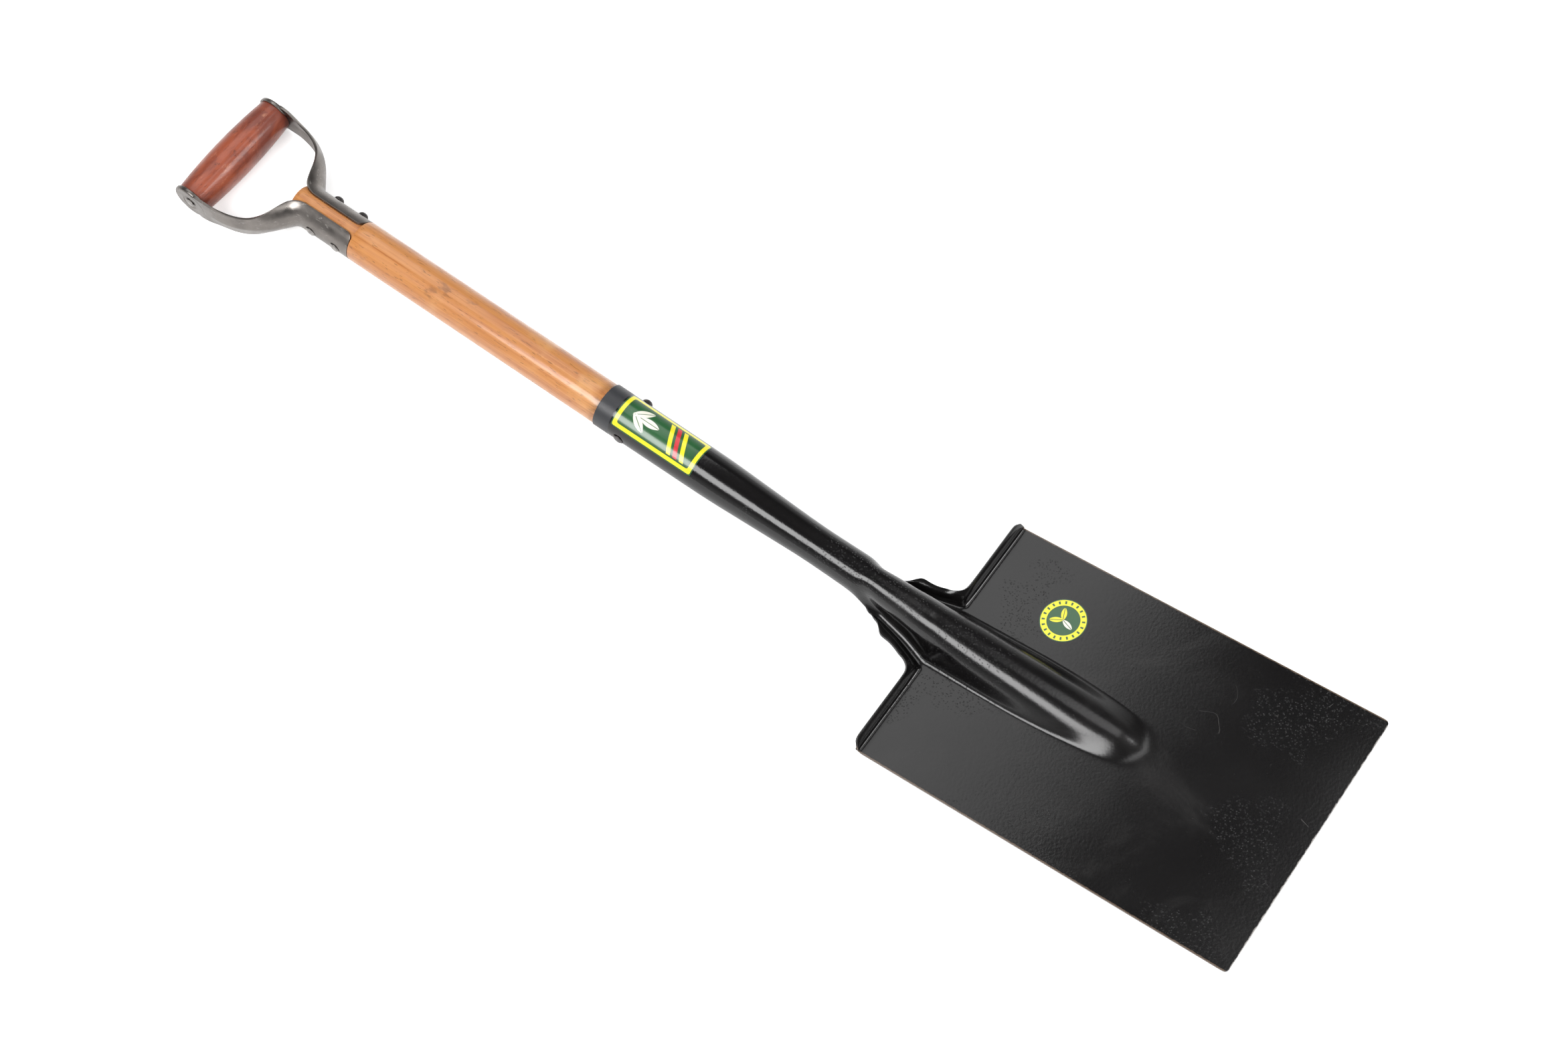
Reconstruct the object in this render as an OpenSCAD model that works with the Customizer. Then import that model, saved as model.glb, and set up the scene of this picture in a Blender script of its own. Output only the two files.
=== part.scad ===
// Garden spade: a pressed steel blade and socket, a wooden shaft and a strapped wooden D handle.
// X runs from the handle to the cutting edge, Y across the blade and Z up, with the spade lying
// on its back. The origin is on the ground, under the middle of the spade's own box.

/* [Blade] */
// Width of the blade across the treads
blade_w = 214; // [170:1:260]
// Length of the blade from the tread fold to the cutting edge
blade_l = 302; // [245:1:370]
// Thickness of the steel sheet
sheet_t = 2; // [1.6:0.1:2.4]
// Angle from the shaft to the blade
blade_tilt = 12.6; // [9:0.1:15]
// Radius of the corners at the cutting edge
corner_r = 6; // [2:0.5:15]

/* [Treads and neck] */
// Width of the folded tread, from its fold to its edge
tread_w = 11.5; // [9:0.5:14]
// Angle that the tread leans back from square to the blade
tread_lean = 20; // [10:1:30]
// Radius of the rounded outer end of each tread
tread_end_r = 8; // [4:0.5:9]
// Half width of the neck where it meets the treads
neck_w = 25; // [22:0.5:30]
// Half width of the neck at its top
neck_top_w = 18; // [17:0.5:20]
// Length of the neck from the tread fold to its top
neck_l = 46; // [40:1:56]
// Width of the folded wing beside the neck
wing_w = 11; // [8:0.5:13]
// Angle that the wing leans out from upright
wing_lean = 58; // [45:1:65]
// Radius of the edge where a wing runs into a tread
inner_r = 14; // [10:1:18]

/* [Frog] */
// Length of the raised frog on the blade, from the tread fold
frog_l = 172; // [140:1:200]
// Half width of the frog near its end
frog_w = 19; // [15:0.5:22]
// Height of the frog above the blade near its end
frog_h = 4; // [3:0.5:6]

/* [Socket] */
// Length of the socket from its mouth to the tread fold
socket_l = 307; // [260:1:370]
// Outer radius of the socket at its mouth
mouth_r = 18; // [16:0.1:19]
// Length of the straight part below the mouth
mouth_l = 105; // [85:1:125]
// Outer radius of the socket where the straight part ends
socket_r = 17.6; // [15.6:0.1:18]
// Outer radius of the socket at its waist
waist_r = 14.3; // [13:0.1:15]
// Distance of the waist from the tread fold
waist_x = 116; // [100:1:135]
// Outer radius of the socket where the frog begins
throat_r = 15; // [14:0.1:16]
// Distance of the throat from the tread fold
throat_x = 62; // [58:1:75]
// Thickness of the socket's wall
socket_wall = 1.5; // [1.2:0.1:2]
// Gap at the seam along the back of the socket
seam_gap = 1.6; // [0.8:0.1:3]

/* [Shaft] */
// Radius of the bare wooden shaft
shaft_r = 17; // [15:0.1:17.5]
// Length of bare shaft between the socket and the straps
bare_l = 242; // [195:1:300]
// Length of the shaft's reduced end, under and past the straps
spigot_l = 62; // [56:1:70]
// Distance from the waist to the end of the wood inside the socket
toe_gap = 6; // [2:1:12]

/* [Handle] */
// Length of the wooden grip
grip_l = 100; // [90:1:122]
// Radius of the grip at its middle
grip_r = 16.3; // [15:0.1:17.5]
// Radius of the grip at its ends
grip_end_r = 14; // [13:0.5:16]
// Distance from the straps' lower end to the grip's axis
handle_l = 130.5; // [109:0.5:157]
// Thickness of the straps
strap_t = 2.2; // [1.8:0.1:2.6]
// Width of the straps between the shaft and the grip
strap_w = 21; // [17:0.5:25]
// Length of each strap along the shaft before it leaves the wood
saddle_l = 48; // [44:1:54]
// Gap between the two straps along the top and the bottom of the shaft
saddle_gap = 10; // [4:0.5:12]
// Angle at which the straps leave the shaft
strap_bend = 52; // [45:1:60]
// Radius of the bend by the shaft
strap_r1 = 7; // [5:0.5:9]
// Radius of the wide bend by the grip
strap_r2 = 56; // [45:1:62]
// Width of the lip around each end of the grip
lip_w = 3.5; // [2.5:0.5:5]

/* [Rivets] */
// Radius of a rivet's shank
rivet_r = 3; // [2.5:0.1:3.5]
// Radius of a rivet's round head
head_r = 4.5; // [3.8:0.1:5]
// Height of a rivet's round head
head_h = 3.8; // [2:0.1:4.5]
// Height of a rivet's hammered tail
tail_h = 0.7; // [0.4:0.1:2]
// Distance from the socket's mouth to its rivet
socket_rivet_x = 24; // [16:1:40]
// Distance from the straps' lower end to the nearer handle rivet
strap_rivet_x = 12.5; // [10:0.5:16]
// Distance between the two handle rivets
strap_rivet_gap = 24.5; // [18:0.5:28]

/* [Labels] */
// Length of the label on the socket
label_l = 74; // [50:1:85]
// Angle that the label covers around the socket
label_angle = 110; // [80:5:130]
// Distance from the socket's mouth to the label
label_x = 15; // [4:1:25]
// Radius of the round label on the blade
round_label_r = 17.5; // [12:0.5:22]
// Distance of the round label from the tread fold
round_label_x = 68; // [50:1:100]
// Distance of the round label from the middle of the blade
round_label_y = 57; // [45:1:70]
// Thickness of both labels
label_t = 0.2; // [0.1:0.05:0.4]

/* [Clearances] */
// Clearance around the wood in the socket, the straps and the lips
wood_gap = 0.15; // [0.05:0.05:0.3]
// Clearance around each rivet in its holes
rivet_gap = 0.1; // [0.05:0.05:0.3]

/* [Hidden] */
$fn = 96;
skin = 0.01;
throat_lap = 0.5;

// The shaft's axis lies as high as the larger of the strap ends and the socket's mouth, so that
// neither reaches below the ground.
cup_r = grip_end_r + wood_gap + strap_t;
axis_z = max(cup_r, mouth_r);
spigot_r = shaft_r - strap_t - wood_gap;
wood_r = mouth_r - socket_wall - wood_gap;

// Places along X, measured from the tread fold.
strap_x = -socket_l - bare_l;
spigot_x = strap_x - spigot_l;
grip_x = strap_x - handle_l;
lower_rivet_x = strap_x - strap_rivet_x;
upper_rivet_x = lower_rivet_x - strap_rivet_gap;
tip_x = blade_l * cos(blade_tilt);
middle_x = (grip_x - cup_r + tip_x) / 2;

function lerp(a, b, t) = a + (b - a) * t;
function arc(n, a0, a1) = [for (i = [0:n]) lerp(a0, a1, i / n)];

// Lays a child drawn on the blade's own plane, X from the fold and Z square to it, on the blade.
module on_blade() rotate([0, -blade_tilt, 0]) children();

// Turns a child drawn along Z so that it runs along X, on the shaft's axis.
module along_shaft() translate([0, 0, axis_z]) rotate([0, 90, 0]) children();

// Turns a child drawn along Z so that it runs along Y, on the shaft's axis at x.
module across_at(x) translate([x, 0, axis_z]) rotate([-90, 0, 0]) children();

// A flat shape with its far corners rounded.
module blade_outline() {
    translate([-sheet_t, -blade_w / 2])
        square([blade_l + sheet_t - corner_r, blade_w]);
    translate([0, corner_r - blade_w / 2])
        square([blade_l, blade_w - 2 * corner_r]);
    for (side = [-1, 1])
        translate([blade_l - corner_r, side * (blade_w / 2 - corner_r)]) circle(corner_r);
}

// The folded edge, from the top of the neck along the wing and around to the tread's end.
// Each station holds the fold's point, the edge's point and the way out from the sheet.
neck_rise = 3;
fold_z = sheet_t;
wing_out = wing_w * sin(wing_lean);
wing_up = wing_w * cos(wing_lean);
tread_out = tread_w * sin(tread_lean);
tread_up = tread_w * cos(tread_lean);
corner_x = -inner_r - tread_out;
corner_y = neck_fold_y(corner_x) + wing_out;
end_y = blade_w / 2 - tread_end_r;

// Half width of the neck's flat, and height of its face, at x.
function neck_fold_y(x) = lerp(neck_top_w, neck_w, pow(max(0, 1 + x / neck_l), 3));
function neck_fold_z(x) = fold_z - neck_rise * x / neck_l;
function neck_fold(x) = [x, neck_fold_y(x), neck_fold_z(x)];

// The wing grows to its full width over the first part of its length.
wing_start = 0.4;
neck_stations = [for (t = [0:0.1:1]) let(fold = neck_fold(lerp(-neck_l, corner_x, t)),
    grown = sin(90 * min(1, t / wing_start)))
    [fold, fold + [0, wing_out * grown, wing_up * grown], [0, 1]]];
corner_stations = [for (a = arc(9, 10, 90)) let(t = a / 90)
    [t < 0.5 ? neck_fold(corner_x * (1 - 2 * t))
             : [0, lerp(neck_w, corner_y + inner_r, 2 * t - 1), fold_z],
     [corner_x + inner_r * sin(a), corner_y + inner_r * (1 - cos(a)),
      lerp(neck_fold_z(corner_x) + wing_up, fold_z + tread_up, t)],
     [-sin(a), cos(a)]]];
tread_stations = [for (t = [0.2:0.2:0.8]) let(y = lerp(corner_y + inner_r, end_y, t))
    [[0, y, fold_z], [-tread_out, y, fold_z + tread_up], [-1, 0]]];
end_stations = [for (a = arc(8, 0, 84)) let(y = end_y + tread_end_r * sin(a),
    left = 1 - tread_end_r * (1 - cos(a)) / tread_w)
    [[0, y, fold_z], [-tread_out * left, y, fold_z + tread_up * left], [-1, 0]]];
stations = concat(neck_stations, corner_stations, tread_stations, end_stations);

// The four corners of the fold's cross-section at a station: inside the sheet, at the edge, at
// the edge's back and under the fold.
function section(s) = let(rise = s[1] - s[0], out = [s[2][0], s[2][1], 0],
    slope = rise / max(norm(rise), skin),
    back = slope[2] * out - [0, 0, sqrt(max(0, 1 - slope[2] * slope[2]))])
    [s[0] - out * sheet_t - [0, 0, skin], s[1], s[1] + back * sheet_t,
     s[0] + back * sheet_t / 2 - [0, 0, sheet_t * 0.9]];

module folded_edge() {
    rings = [for (s = stations) section(s)];
    n = len(rings);
    polyhedron(points = [for (r = rings) each r],
        faces = concat([[3, 2, 1, 0]],
            [for (i = [0:n - 2], j = [0:3]) let(k = (j + 1) % 4)
                [4 * i + j, 4 * i + k, 4 * i + 4 + k, 4 * i + 4 + j]],
            [[4 * n - 4, 4 * n - 3, 4 * n - 2, 4 * n - 1]]),
        convexity = 6);
}

// The flat of the neck on both sides of the socket, rising a little to the throat.
module neck_plate() rotate([0, atan(neck_rise / neck_l), 0]) linear_extrude(sheet_t) {
    xs = [for (t = [0:0.125:1]) -neck_l * t];
    polygon(concat([for (x = xs) [x, neck_fold_y(x)]],
        [for (i = [len(xs) - 1:-1:0]) [xs[i], -neck_fold_y(xs[i])]]));
}

// The frog's solid form, from the round throat to its low end on the blade, smaller by shrink,
// with its sides carried straight down past the blade's back.
module frog_form(shrink) hull() for (down = [0, 3 * throat_r]) translate([0, 0, -down]) {
    translate([-throat_x, 0, axis_z]) rotate([0, 90, 0])
        cylinder(r = throat_r - shrink, h = throat_lap, $fn = 48);
    on_blade() {
        translate([frog_l - frog_w, 0, sheet_t - shrink]) scale([0.1, frog_w - shrink, frog_h])
            sphere(1, $fn = 32);
        translate([frog_l - shrink - 3, 0, sheet_t - shrink]) scale([3, frog_w / 2, 0.5])
            sphere(1, $fn = 32);
    }
}

// The space over the neck plate, slanting up to the shaft's axis at the throat.
module above_neck() rotate([90, 0, 0]) linear_extrude(blade_w, center = true)
    polygon([[-throat_x - sheet_t, axis_z], [-neck_l, neck_rise + sheet_t / 2],
        [0, sheet_t / 2], [sheet_t, sheet_t / 2], [sheet_t, blade_w],
        [-throat_x - sheet_t, blade_w]]);

// The socket's outer radius at a distance below its mouth, in its straight part.
function mouth_r_at(x) = lerp(mouth_r, socket_r, x / mouth_l);

module socket_profile(x_end, shrink) polygon([
    [0, -socket_l], [mouth_r - shrink, -socket_l], [socket_r - shrink, mouth_l - socket_l],
    [waist_r - shrink, -waist_x], [throat_r - shrink, -x_end], [0, -x_end]]);

// The whole pressed head, with its hollow, its seam and its rivet hole cut.
module blade() color("#1d1c1d") difference() {
    union() {
        on_blade() linear_extrude(sheet_t) blade_outline();
        neck_plate();
        for (side = [0, 1]) mirror([0, side, 0]) folded_edge();
        intersection() {
            frog_form(0);
            union() {
                on_blade() translate([-skin, -blade_w / 2, 0]) cube([blade_l, blade_w, blade_w]);
                above_neck();
            }
        }
        along_shaft() rotate_extrude() socket_profile(throat_x - throat_lap / 2, 0);
    }
    along_shaft() rotate_extrude() socket_profile(throat_x - throat_lap, socket_wall);
    translate([-socket_l - skin, 0, axis_z]) rotate([0, 90, 0])
        cylinder(r = mouth_r - socket_wall, h = 2 * skin);
    frog_form(sheet_t);
    translate([-socket_l - skin, -seam_gap / 2, -skin])
        cube([socket_l - neck_l + sheet_t, seam_gap, axis_z - waist_r + 2 * sheet_t]);
    across_at(socket_rivet_x - socket_l)
        cylinder(r = rivet_r + rivet_gap, h = 3 * mouth_r, center = true);
}

// The shaft, with its spigot in the straps and its tapered toe in the socket.
module shaft() color("#c98746") difference() {
    along_shaft() rotate_extrude() polygon([
        [0, spigot_x], [spigot_r - 1.5, spigot_x], [spigot_r, spigot_x + 2.5],
        [spigot_r, strap_x], [shaft_r, strap_x], [shaft_r, -socket_l - 2], [wood_r, -socket_l],
        [socket_r - socket_wall - wood_gap, mouth_l - socket_l],
        [waist_r - socket_wall - wood_gap, -waist_x - toe_gap], [0, -waist_x - toe_gap]]);
    for (x = [upper_rivet_x, lower_rivet_x, socket_rivet_x - socket_l])
        across_at(x) cylinder(r = rivet_r + rivet_gap, h = 3 * shaft_r, center = true);
}

// The strap's middle line in plan, from where it leaves the shaft to the middle of the grip's end.
saddle_r = shaft_r - strap_t / 2;
cup_y = grip_l / 2 + wood_gap + strap_t / 2;
leave_x = strap_x - saddle_l;
climb = cup_y - saddle_r - (strap_r1 + strap_r2) * (1 - cos(strap_bend));
bend1 = [for (a = arc(6, 0, strap_bend))
    [leave_x - strap_r1 * sin(a), saddle_r + strap_r1 * (1 - cos(a)), a]];
bend2_start = [leave_x - strap_r1 * sin(strap_bend) - climb / tan(strap_bend),
    saddle_r + strap_r1 * (1 - cos(strap_bend)) + climb];
bend2 = [for (a = arc(14, strap_bend, 0))
    [bend2_start[0] - strap_r2 * (sin(strap_bend) - sin(a)),
     bend2_start[1] + strap_r2 * (cos(a) - cos(strap_bend)), a]];
strap_line = concat([[leave_x + strap_t, saddle_r, 0]], bend1, bend2, [[grip_x, cup_y, 0]]);
function strap_side_line(out) = [for (p = strap_line)
    [p[0] + out * sin(p[2]), p[1] + out * cos(p[2])]];
function reversed(list) = [for (i = [len(list) - 1:-1:0]) list[i]];

// The strap seen from the side: full height around the shaft, easing toward the band's own width
// along its first bend.
bend_l = strap_r1 * sin(strap_bend);
open_l = leave_x - bend2_start[0];
side_half = [for (t = [0:0.1:1])
    [leave_x + bend_l - 2 * bend_l * t, lerp(shaft_r, strap_w / 2, (1 - cos(180 * t)) / 2)]];
module saddle_side() rotate([90, 0, 0]) linear_extrude(4 * grip_l, center = true) polygon(concat(
    [[strap_x, shaft_r]], side_half, [for (p = reversed(side_half)) [p[0], -p[1]]],
    [[strap_x, -shaft_r]]));

// The half tube around the shaft.
module saddle() intersection() {
    saddle_side();
    rotate([0, 90, 0]) translate([0, 0, leave_x - shaft_r]) difference() {
        cylinder(r = shaft_r, h = saddle_l + shaft_r);
        translate([0, 0, -1]) cylinder(r = shaft_r - strap_t, h = saddle_l + shaft_r + 2);
    }
    translate([leave_x - bend_l, saddle_gap / 2, -shaft_r])
        cube([saddle_l + shaft_r, shaft_r, 2 * shaft_r]);
}

// The band seen from the side, starting narrow on the saddle's crown.
module band_side() rotate([90, 0, 0]) linear_extrude(4 * grip_l, center = true) polygon([
    [strap_x, strap_w / 6], [leave_x, strap_w / 6], [leave_x - open_l, strap_w / 2],
    [grip_x, strap_w / 2], [grip_x, -strap_w / 2], [leave_x - open_l, -strap_w / 2],
    [leave_x, -strap_w / 6], [strap_x, -strap_w / 6]]);

// One strap, drawn on the +Y side: a half saddle, the bent band and the dished end.
module strap() difference() {
    union() {
        translate([0, 0, axis_z]) {
            saddle();
            intersection() {
                band_side();
                translate([0, 0, -strap_w / 2]) linear_extrude(strap_w) polygon(concat(
                    strap_side_line(strap_t / 2), reversed(strap_side_line(-strap_t / 2))));
            }
        }
        across_at(grip_x) translate([0, 0, cup_y]) rotate_extrude() polygon([
            [0, -strap_t / 2], [0, strap_t / 2], [cup_r - strap_t, strap_t / 2],
            [cup_r, -strap_t / 2], [cup_r, -strap_t / 2 - lip_w],
            [cup_r - strap_t, -strap_t / 2 - lip_w], [cup_r - strap_t, -strap_t / 2]]);
    }
    for (x = [upper_rivet_x, lower_rivet_x, grip_x])
        across_at(x) cylinder(r = rivet_r + rivet_gap, h = 4 * grip_l, center = true);
}

module left_strap() color("#8c8884") mirror([0, 1, 0]) strap();

module right_strap() color("#8c8884") strap();

// The grip swells toward its middle between the two cups' lips.
barrel_rise = grip_r - grip_end_r;
barrel_half = grip_l / 2 - lip_w;
module grip() color("#b5603f") difference() {
    across_at(grip_x) rotate_extrude() polygon(concat(
        [[0, -grip_l / 2], [grip_end_r, -grip_l / 2]],
        [for (t = [-1:0.1:1]) [grip_r - barrel_rise * t * t, t * barrel_half]],
        [[grip_end_r, grip_l / 2], [0, grip_l / 2]]));
    across_at(grip_x) cylinder(r = rivet_r + rivet_gap, h = 2 * grip_l, center = true);
}

// A rivet across the spade at x, its shank reaching half to each side, with a round head on the
// +Y side and a hammered tail on the other.
module rivet(x, half) across_at(x) rotate_extrude() polygon(concat(
    [[0, -half - tail_h], [head_r * 0.7, -half - tail_h], [head_r, -half - tail_h * 0.4],
     [head_r, -half], [rivet_r, -half], [rivet_r, half]],
    [for (a = arc(8, 0, 90)) [head_r * cos(a), half + head_h * sin(a)]]));

module grip_rivet() color("#5d5a58") rivet(grip_x, cup_y + strap_t / 2);

module upper_handle_rivet() color("#3a3638") rivet(upper_rivet_x, shaft_r);

module lower_handle_rivet() color("#3a3638") rivet(lower_rivet_x, shaft_r);

module socket_rivet() color("#2a282a")
    rivet(socket_rivet_x - socket_l, mouth_r_at(socket_rivet_x));

module socket_label() color("#2f8f4e") along_shaft()
    rotate([0, 0, 180 - label_angle / 2]) rotate_extrude(angle = label_angle)
        polygon([for (p = [[0, 0], [0, label_t], [label_l, label_t], [label_l, 0]])
            [mouth_r_at(label_x + p[0]) + p[1], label_x + p[0] - socket_l]]);

module blade_label() color("#e8d21f") on_blade()
    translate([round_label_x, round_label_y, sheet_t]) cylinder(r = round_label_r, h = label_t);

module placed() translate([-middle_x, 0, 0]) children();

placed() blade();
placed() shaft();
placed() left_strap();
placed() right_strap();
placed() grip();
placed() grip_rivet();
placed() upper_handle_rivet();
placed() lower_handle_rivet();
placed() socket_rivet();
placed() socket_label();
placed() blade_label();
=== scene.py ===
import math

import bmesh
import bpy
from bpy.props import FloatProperty, FloatVectorProperty, IntProperty, PointerProperty
from mathutils import Matrix, Quaternion, Vector


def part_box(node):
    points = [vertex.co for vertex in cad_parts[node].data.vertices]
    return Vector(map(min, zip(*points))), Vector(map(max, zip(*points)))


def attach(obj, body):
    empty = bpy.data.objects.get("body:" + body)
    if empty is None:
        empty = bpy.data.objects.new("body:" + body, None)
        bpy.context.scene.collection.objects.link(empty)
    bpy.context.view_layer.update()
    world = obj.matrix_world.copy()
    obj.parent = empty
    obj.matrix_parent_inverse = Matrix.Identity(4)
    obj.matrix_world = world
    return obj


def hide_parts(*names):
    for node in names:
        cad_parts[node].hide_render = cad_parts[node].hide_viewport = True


bl_info = {
    "name": "Garden Spade",
    "version": (1, 0, 0),
    "blender": (4, 5, 0),
    "location": "3D View > Sidebar > Spade",
    "description": "Pressed head, wooden shaft and strapped D handle of a garden spade",
    "category": "Object",
}

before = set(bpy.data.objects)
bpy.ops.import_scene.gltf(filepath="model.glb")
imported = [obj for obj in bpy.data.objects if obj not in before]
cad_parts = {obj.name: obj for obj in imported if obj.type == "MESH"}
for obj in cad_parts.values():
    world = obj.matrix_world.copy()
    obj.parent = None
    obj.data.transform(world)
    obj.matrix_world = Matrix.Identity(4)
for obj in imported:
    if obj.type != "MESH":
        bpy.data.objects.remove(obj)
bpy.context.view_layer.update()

# Places that come from the measured frame.
MOUTH_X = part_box("blade")[0].x
AXIS_Z = sum(corner.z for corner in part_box("shaft")) / 2
STRAP_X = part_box("right_strap")[1].x
WOOD_TOP_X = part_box("shaft")[0].x
WOOD_TOE_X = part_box("shaft")[1].x
GRIP_X = sum(corner.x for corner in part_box("grip")) / 2
GRIP_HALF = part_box("grip")[1].y
STRAP_OUT_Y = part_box("right_strap")[1].y


def rivet_x(node):
    return sum(corner.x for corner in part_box(node)) / 2


# ---------------------------------------------------------------- sizes and colours


def length(name, about, default):
    return FloatProperty(name=name, description=about, default=default, unit="LENGTH")


def angle(name, about, degrees):
    return FloatProperty(
        name=name, description=about, default=math.radians(degrees), subtype="ANGLE"
    )


def colour(name, about, default):
    return FloatVectorProperty(
        name=name, description=about, default=default, subtype="COLOR", min=0, max=1
    )


class SpadeHeadSizes(bpy.types.PropertyGroup):
    socket_l: length("Socket length", "From the tread fold to the socket's mouth", 0.307)
    blade_l: length("Blade length", "From the tread fold to the cutting edge", 0.302)
    blade_half_w: length("Blade half width", "From the middle to the side edge", 0.107)
    sheet_t: length("Sheet thickness", "Thickness of the pressed sheet", 0.002)
    tilt: angle("Blade tilt", "Lift of the blade from the shaft's line", 12.6)
    frog_h: length("Frog height", "Height of the frog over the blade at the fold", 0.0324)
    frog_l: length("Frog length", "From the tread fold to the frog's nose", 0.170)
    tread_w: length("Tread width", "Width of the folded tread", 0.0115)
    tread_lean: angle("Tread lean", "Lean of the tread past square", 20)
    tread_end_r: length("Tread end radius", "Radius of the tread's outer end", 0.008)
    neck_l: length("Neck length", "Length of the open neck above the fold", 0.046)
    neck_rise: length("Neck rise", "Rise of the neck's base to the throat", 0.003)
    inner_r: length("Inner corner radius", "Radius of the edge between wing and tread", 0.014)
    corner_r: length("Tip corner radius", "Radius of the blade's two far corners", 0.003)
    seam_gap: length("Seam gap", "Gap of the seam under the socket", 0.0016)


class SpadeHandleSizes(bpy.types.PropertyGroup):
    saddle_l: length("Saddle length", "Length of a strap's hold on the shaft", 0.048)
    saddle_gap: length("Saddle gap", "Gap between the two saddles", 0.010)
    strap_t: length("Strap thickness", "Thickness of the strap's sheet", 0.0022)
    strap_w: length("Strap width", "Width of the bent band", 0.021)
    first_bend_r: length("First bend", "Radius of the bend at the shaft", 0.007)
    second_bend_r: length("Second bend", "Radius of the bend beside the grip", 0.056)
    bend: angle("Bend", "Turn of the strap away from the shaft", 52)
    ridge: length("Ridge", "Height of the low ridge along the band", 0.0024)
    lip: length("Cup lip", "Height of the cup's lip around the grip's end", 0.0015)
    grip_r: length("Grip radius", "Radius of the grip's middle", 0.0163)
    grip_end_r: length("Grip end radius", "Radius of the grip's ends", 0.014)
    rivet_head_r: length("Rivet head", "Radius of a rivet's head", 0.0045)
    rivet_head_h: length("Rivet height", "Height of a rivet's head", 0.0038)


class SpadeShaftSizes(bpy.types.PropertyGroup):
    shaft_r: length("Shaft radius", "Radius of the bare shaft", 0.017)
    spigot_r: length("Spigot radius", "Radius of the wood between the straps", 0.01465)
    segments: IntProperty(
        name="Facets", description="Facets around the shaft", default=96, min=24
    )


class SpadeColours(bpy.types.PropertyGroup):
    paint: colour("Paint", "Black paint of the head", (0.0042, 0.0038, 0.0040))
    paint_dust: colour("Dust", "Fine dust on the paint", (0.060, 0.057, 0.055))
    bare_steel: colour("Bare steel", "Steel at the worn cutting edge", (0.42, 0.40, 0.38))
    strap: colour("Strap steel", "Grey steel of the straps", (0.21, 0.192, 0.178))
    rivet: colour("Rivet steel", "Dark steel of the rivets", (0.06, 0.055, 0.055))
    wood_light: colour("Shaft wood, light", "Light grain of the shaft", (0.59, 0.245, 0.07))
    wood_dark: colour("Shaft wood, dark", "Dark grain of the shaft", (0.40, 0.125, 0.024))
    grip_light: colour("Grip wood, light", "Light grain of the grip", (0.35, 0.075, 0.030))
    grip_dark: colour("Grip wood, dark", "Dark grain of the grip", (0.19, 0.036, 0.017))
    label_yellow: colour("Label yellow", "Yellow of the labels", (0.88, 0.80, 0.02))
    label_green: colour("Label green", "Green of the labels", (0.014, 0.085, 0.026))
    label_red: colour("Label red", "Red of the labels", (0.62, 0.03, 0.04))


# ---------------------------------------------------------------- small helpers


def lerp(a, b, t):
    return a + (b - a) * t


def smooth(t):
    t = min(1.0, max(0.0, t))
    return t * t * (3 - 2 * t)


def at(table, x):
    """The value at x on a line through the table's points, level past its ends."""
    if x <= table[0][0]:
        return table[0][1]
    for (x0, v0), (x1, v1) in zip(table, table[1:]):
        if x <= x1:
            return lerp(v0, v1, (x - x0) / (x1 - x0))
    return table[-1][1]


def make_grid(bm, rows, columns, place):
    """Adds a grid to bm and puts each of its points at place(row, column)."""
    made = bmesh.ops.create_grid(bm, x_segments=rows, y_segments=columns, size=1)
    for vert in made["verts"]:
        row = round((vert.co.x + 1) / 2 * rows)
        column = round((vert.co.y + 1) / 2 * columns)
        vert.co = place(row, column)


def spin_profile(bm, points, axis, centre, steps):
    """Adds a closed solid of revolution. Each point is (distance along the axis, radius)."""
    axis = Vector(axis)
    side = Vector((0, 0, 1))
    verts = [bm.verts.new(Vector(centre) + axis * a + side * r) for a, r in points]
    edges = [bm.edges.new(pair) for pair in zip(verts, verts[1:])]
    made = bmesh.ops.spin(
        bm,
        geom=verts + edges,
        cent=centre,
        axis=axis,
        dvec=(0, 0, 0),
        angle=math.tau,
        steps=steps,
        use_merge=True,
    )
    return made


def close_up(bm):
    """Merges doubled points and turns every face outwards."""
    bmesh.ops.remove_doubles(bm, verts=bm.verts, dist=1e-6)
    bmesh.ops.recalc_face_normals(bm, faces=bm.faces)


def add_piece(name, bm, finish, nodes, modifiers=(), sharp=35):
    """Makes bm a finished piece that stands for the CAD nodes."""
    mesh = bpy.data.meshes.new(name)
    bm.to_mesh(mesh)
    bm.free()
    piece = bpy.data.objects.new(name, mesh)
    bpy.context.scene.collection.objects.link(piece)
    for kind, settings in modifiers:
        modifier = piece.modifiers.new(kind.title(), kind)
        for key, value in settings.items():
            setattr(modifier, key, value)
    if modifiers:
        graph = bpy.context.evaluated_depsgraph_get()
        settled = bpy.data.meshes.new_from_object(piece.evaluated_get(graph))
        piece.modifiers.clear()
        piece.data = settled
        bpy.data.meshes.remove(mesh)
        settled.name = name
    piece.data.shade_smooth()
    piece.data.set_sharp_from_angle(angle=math.radians(sharp))
    piece.data.materials.clear()
    piece.data.materials.append(finish)
    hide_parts(*nodes)
    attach(piece, "root")
    return piece


def subdivide(levels):
    return ("SUBSURF", {"levels": levels, "render_levels": levels})


def bevel(width, segments=2, degrees=50):
    settings = {
        "width": width,
        "segments": segments,
        "limit_method": "ANGLE",
        "angle_limit": math.radians(degrees),
    }
    return ("BEVEL", settings)


# ---------------------------------------------------------------- material helpers


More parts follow.
